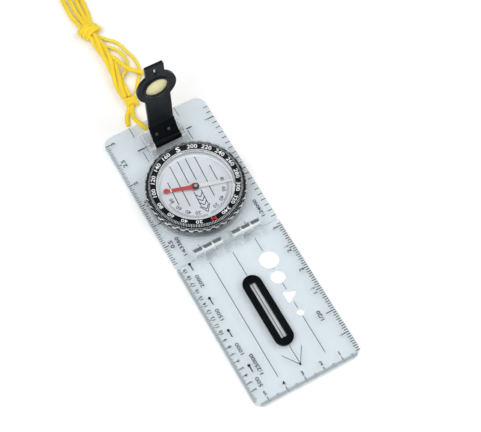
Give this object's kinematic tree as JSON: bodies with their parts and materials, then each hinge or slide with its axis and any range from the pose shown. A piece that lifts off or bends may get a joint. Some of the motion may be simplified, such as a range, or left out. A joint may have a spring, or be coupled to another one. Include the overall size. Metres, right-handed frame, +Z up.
{
  "type": "sighting compass",
  "caption": "Clear folding baseplate compass with a turning dial, a floating needle, a flip-up eye sight, a hairline front sight and a braided neck lanyard.",
  "frame": {"origin": "on the dial's axis, on the underside of the upper plate", "axes": "+Y is the direction of travel, towards the foot of the lower plate; +Z is up through the dial; +X is the side with the metre scale"},
  "size_m": [0.057, 0.2915, 0.0621],
  "materials": {
    "clear_acrylic": "moulded clear acrylic, polished faces",
    "clear_cover": "clear polished cover",
    "card_white": "satin translucent white card",
    "black_plastic": "satin black moulding",
    "steel": "polished steel pins",
    "jewel_grey": "grey jewel bearing",
    "needle_red": "red enamel",
    "needle_white": "white enamel",
    "lens_glass": "polished lens",
    "yellow_cord": "bright yellow braided polyester",
    "tie_black": "black band"
  },
  "bodies": {
    "base": {"upper_plate": "clear_acrylic", "dial_collar": "clear_acrylic", "sight_bracket": "clear_acrylic", "sight_pin": "steel", "hinge_pin_left": "steel", "hinge_pin_right": "steel", "lanyard_bundle": "yellow_cord", "lanyard_neck_out": "yellow_cord", "lanyard_neck_back": "yellow_cord", "lanyard_neck_coil": "yellow_cord", "lanyard_coil_tie": "tie_black", "lanyard_side": "yellow_cord", "lanyard_second_side": "yellow_cord", "lanyard_loop_a": "yellow_cord", "lanyard_loop_b": "yellow_cord", "lanyard_strand": "yellow_cord", "lanyard_anchor": "yellow_cord", "lanyard_tail": "yellow_cord", "lanyard_upper_knot": "yellow_cord", "lanyard_lower_knot": "yellow_cord", "lanyard_side_knot": "yellow_cord"},
    "bezel": {"bezel_ring": "clear_acrylic", "degree_ring": "black_plastic", "grip_ring": "clear_acrylic", "capsule_housing": "clear_acrylic", "capsule_cover": "clear_cover", "capsule_card": "card_white", "pivot_post": "steel"},
    "needle": {"needle_cap": "black_plastic", "needle_jewel": "jewel_grey", "needle_north": "needle_red", "needle_south": "needle_white"},
    "front_half": {"lower_plate": "clear_acrylic", "front_sight_frame": "black_plastic", "front_sight_pane": "clear_cover", "front_sight_hairline": "black_plastic"},
    "eye_sight": {"sight_leaf": "black_plastic", "sight_arm": "black_plastic", "sight_rivets": "steel", "eye_lens": "lens_glass", "lens_retainer": "black_plastic"}
  },
  "joints": [
    {"name": "fold_hinge", "type": "hinge", "parent": "base", "child": "front_half", "pos_m": [0, 0.0319, 0.008], "axis": [1, 0, 0], "range_deg": [0, 145]},
    {"name": "sight_hinge", "type": "hinge", "parent": "base", "child": "eye_sight", "pos_m": [0, -0.0303, 0.0087], "axis": [1, 0, 0], "range_deg": [-95.5, 0]},
    {"name": "dial_turn", "type": "hinge", "parent": "base", "child": "bezel", "pos_m": [0, 0, 0.006], "axis": [0, 0, 1], "continuous": true},
    {"name": "needle_swing", "type": "hinge", "parent": "bezel", "child": "needle", "pos_m": [0, 0, 0.008], "axis": [0, 0, 1], "continuous": true}
  ]
}
